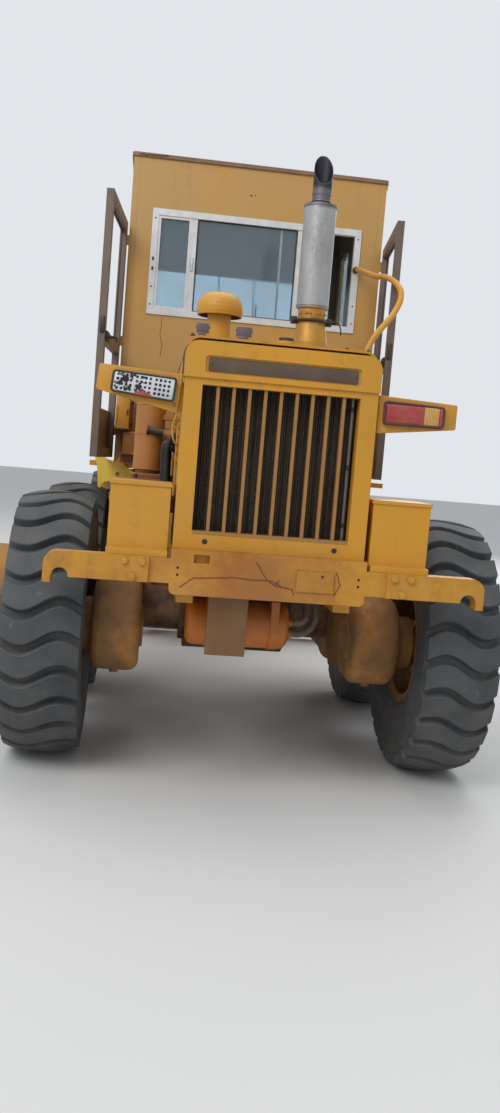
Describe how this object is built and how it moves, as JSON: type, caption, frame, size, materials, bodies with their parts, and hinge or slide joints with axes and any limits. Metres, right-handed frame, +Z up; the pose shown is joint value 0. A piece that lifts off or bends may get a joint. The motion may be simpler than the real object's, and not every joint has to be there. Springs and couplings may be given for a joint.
{
  "type": "motor grader",
  "caption": "Motor grader with an articulated frame, tandem drive, rear engine, boxy cab with its doors open, arched front frame and a blade under a turning circle",
  "frame": {"origin": "on the ground, at the middle of the machine's length and width", "axes": "+Y to the front of the machine, +X to its right, +Z up"},
  "size_m": [3.726, 8.3515, 3.448],
  "materials": {
    "yellow_paint": "faded construction yellow, dusty, with rust at edges",
    "running_gear_paint": "yellow paint under dried mud",
    "blade_steel": "yellow paint worn to steel on its face",
    "dark_iron": "oily dark iron",
    "radiator_core": "dusty dark fins",
    "muffler_steel": "dull grey sheet with rust at its seams",
    "lamp_red": "red lens in a yellow bracket",
    "headlamp_shell": "clear lamp glass in a dark shell",
    "window_glass": "clear, lightly dusty",
    "window_aluminium": "white aluminium section",
    "door_steel": "dark brown grey, rusty",
    "seat_steel": "black",
    "seat_vinyl": "black vinyl",
    "control_plastic": "black",
    "rod_chrome": "polished rod",
    "tyre_rubber": "dry grey black rubber with dust"
  },
  "bodies": {
    "rear_section": {"rear_frame": "yellow_paint", "rear_bumper": "yellow_paint", "air_tank": "yellow_paint", "air_hoses": "control_plastic", "engine_block": "dark_iron", "transmission": "dark_iron", "radiator": "radiator_core", "grille": "yellow_paint", "hood": "yellow_paint", "exhaust_stack": "muffler_steel", "precleaner": "yellow_paint", "air_cleaner": "yellow_paint", "tail_lamps": "lamp_red", "side_boxes": "yellow_paint", "tanks": "yellow_paint", "rear_axle": "running_gear_paint", "tandem_cases": "running_gear_paint", "platform": "yellow_paint", "steps": "yellow_paint", "handrail": "yellow_paint", "cab_shell": "yellow_paint", "cab_end_walls": "yellow_paint", "cab_roof": "yellow_paint", "cab_glass": "window_glass", "rear_window": "window_aluminium", "seat_base": "seat_steel", "seat_cushions": "seat_vinyl", "controls": "control_plastic"},
    "front_section": {"front_frame": "yellow_paint", "headlamps": "headlamp_shell", "front_axle": "running_gear_paint"},
    "knuckle_body_left": {"knuckle_left": "running_gear_paint"},
    "knuckle_body_right": {"knuckle_right": "running_gear_paint"},
    "steering_link": {"tie_rod": "dark_iron"},
    "drawbar_body": {"drawbar": "yellow_paint", "circle_drive": "dark_iron"},
    "circle_body": {"turn_circle": "running_gear_paint"},
    "carrier_body": {"blade_carrier": "running_gear_paint"},
    "blade_body": {"blade": "blade_steel"},
    "barrel_body_left": {"lift_barrel_left": "yellow_paint"},
    "barrel_body_right": {"lift_barrel_right": "yellow_paint"},
    "rod_body_left": {"lift_rod_left": "rod_chrome"},
    "rod_body_right": {"lift_rod_right": "rod_chrome"},
    "door_body_left": {"door_left": "door_steel"},
    "door_body_right": {"door_right": "door_steel"},
    "wheel_rear_left": {"rim_rear_left": "yellow_paint", "tyre_rear_left": "tyre_rubber"},
    "wheel_rear_right": {"rim_rear_right": "yellow_paint", "tyre_rear_right": "tyre_rubber"},
    "wheel_mid_left": {"rim_mid_left": "yellow_paint", "tyre_mid_left": "tyre_rubber"},
    "wheel_mid_right": {"rim_mid_right": "yellow_paint", "tyre_mid_right": "tyre_rubber"},
    "wheel_front_left": {"rim_front_left": "yellow_paint", "tyre_front_left": "tyre_rubber"},
    "wheel_front_right": {"rim_front_right": "yellow_paint", "tyre_front_right": "tyre_rubber"}
  },
  "joints": [
    {"name": "frame_articulation", "type": "hinge", "parent": "rear_section", "child": "front_section", "pos_m": [0, -0.782, 1.12], "axis": [0, 0, 1], "range_deg": [-25, 25]},
    {"name": "steer_left", "type": "hinge", "parent": "front_section", "child": "knuckle_body_left", "pos_m": [-0.78, 3.488, 0.68554], "axis": [0, 0, 1], "range_deg": [-40, 40]},
    {"name": "steer_right", "type": "hinge", "parent": "front_section", "child": "knuckle_body_right", "pos_m": [0.78, 3.488, 0.68554], "axis": [0, 0, 1], "range_deg": [-40, 40]},
    {"name": "tie_rod_swing", "type": "hinge", "parent": "knuckle_body_left", "child": "steering_link", "pos_m": [-0.78, 3.258, 0.583], "axis": [0, 0, 1], "range_deg": [-40, 40]},
    {"name": "roll_rear_left", "type": "hinge", "parent": "rear_section", "child": "wheel_rear_left", "pos_m": [-1.025, -3.2795, 0.68554], "axis": [1, 0, 0], "continuous": true},
    {"name": "roll_rear_right", "type": "hinge", "parent": "rear_section", "child": "wheel_rear_right", "pos_m": [1.025, -3.2795, 0.68554], "axis": [1, 0, 0], "continuous": true},
    {"name": "roll_mid_left", "type": "hinge", "parent": "rear_section", "child": "wheel_mid_left", "pos_m": [-1.025, -1.7445, 0.68554], "axis": [1, 0, 0], "continuous": true},
    {"name": "roll_mid_right", "type": "hinge", "parent": "rear_section", "child": "wheel_mid_right", "pos_m": [1.025, -1.7445, 0.68554], "axis": [1, 0, 0], "continuous": true},
    {"name": "roll_front_left", "type": "hinge", "parent": "knuckle_body_left", "child": "wheel_front_left", "pos_m": [-1.025, 3.488, 0.68554], "axis": [1, 0, 0], "continuous": true},
    {"name": "roll_front_right", "type": "hinge", "parent": "knuckle_body_right", "child": "wheel_front_right", "pos_m": [1.025, 3.488, 0.68554], "axis": [1, 0, 0], "continuous": true},
    {"name": "drawbar_lift", "type": "hinge", "parent": "front_section", "child": "drawbar_body", "pos_m": [0, 3.068, 0.965], "axis": [-1, 0, 0], "range_deg": [-12, 10]},
    {"name": "lift_barrel_left_swing", "type": "hinge", "parent": "front_section", "child": "barrel_body_left", "pos_m": [-0.52, 1.313, 1.815], "axis": [-1, 0, 0], "range_deg": [-6, 5]},
    {"name": "lift_rod_left_slide", "type": "slide", "parent": "barrel_body_left", "child": "rod_body_left", "axis": [0, 0.2287, 0.9735], "range_m": [-0.4, 0.335]},
    {"name": "lift_barrel_right_swing", "type": "hinge", "parent": "front_section", "child": "barrel_body_right", "pos_m": [0.52, 1.313, 1.815], "axis": [-1, 0, 0], "range_deg": [-6, 5]},
    {"name": "lift_rod_right_slide", "type": "slide", "parent": "barrel_body_right", "child": "rod_body_right", "axis": [0, 0.2287, 0.9735], "range_m": [-0.4, 0.335]},
    {"name": "circle_turn", "type": "hinge", "parent": "drawbar_body", "child": "circle_body", "pos_m": [0, 0.718, 0.78], "axis": [0, 0, 1], "continuous": true},
    {"name": "blade_pitch", "type": "hinge", "parent": "circle_body", "child": "carrier_body", "pos_m": [0, 0.288, 0.16], "axis": [-1, 0, 0], "range_deg": [-5, 40]},
    {"name": "blade_shift", "type": "slide", "parent": "carrier_body", "child": "blade_body", "axis": [1, 0, 0], "range_m": [-0.55, 0.55]},
    {"name": "door_left_swing", "type": "hinge", "parent": "rear_section", "child": "door_body_left", "pos_m": [-0.825, -2.137, 2.3], "axis": [0, 0, -1], "range_deg": [0, 176]},
    {"name": "door_right_swing", "type": "hinge", "parent": "rear_section", "child": "door_body_right", "pos_m": [0.825, -2.137, 2.3], "axis": [0, 0, 1], "range_deg": [0, 187]}
  ],
  "couplings": [
    {"joint": "steer_right", "follows": "steer_left", "ratio": 1},
    {"joint": "tie_rod_swing", "follows": "steer_left", "ratio": -1},
    {"joint": "lift_barrel_left_swing", "follows": "drawbar_lift", "ratio": 0.5},
    {"joint": "lift_rod_left_slide", "follows": "drawbar_lift", "m_per_rad": 1.896},
    {"joint": "lift_barrel_right_swing", "follows": "drawbar_lift", "ratio": 0.5},
    {"joint": "lift_rod_right_slide", "follows": "drawbar_lift", "m_per_rad": 1.896}
  ]
}
